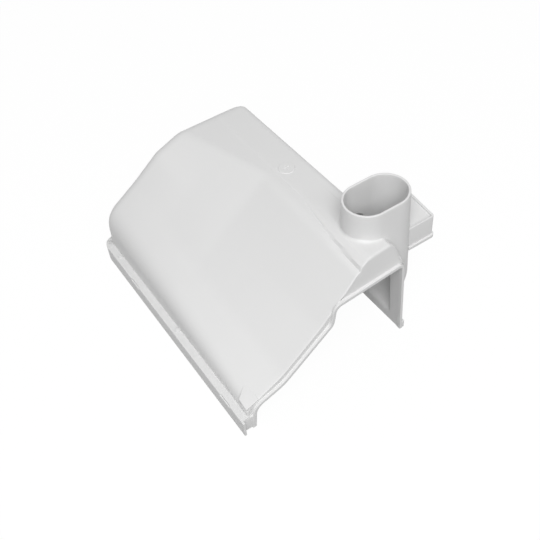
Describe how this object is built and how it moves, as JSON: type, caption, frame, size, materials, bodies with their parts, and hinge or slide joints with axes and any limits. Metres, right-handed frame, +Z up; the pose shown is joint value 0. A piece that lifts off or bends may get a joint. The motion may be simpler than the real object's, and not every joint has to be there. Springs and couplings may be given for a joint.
{
  "type": "detergent dispenser housing",
  "caption": "Moulded washing machine detergent dispenser housing with a sloping roof, an oval inlet spout, a side box and an open drawer mouth.",
  "frame": {"origin": "centre of the bounding box on the table it rests on", "axes": "+X from the left rim to the spout side, +Y from the drawer mouth to the back, +Z up"},
  "size_m": [0.2326, 0.2726, 0.146],
  "materials": {
    "shell": "satin"
  },
  "bodies": {
    "root": {"dispenser_housing": "shell"}
  },
  "joints": []
}
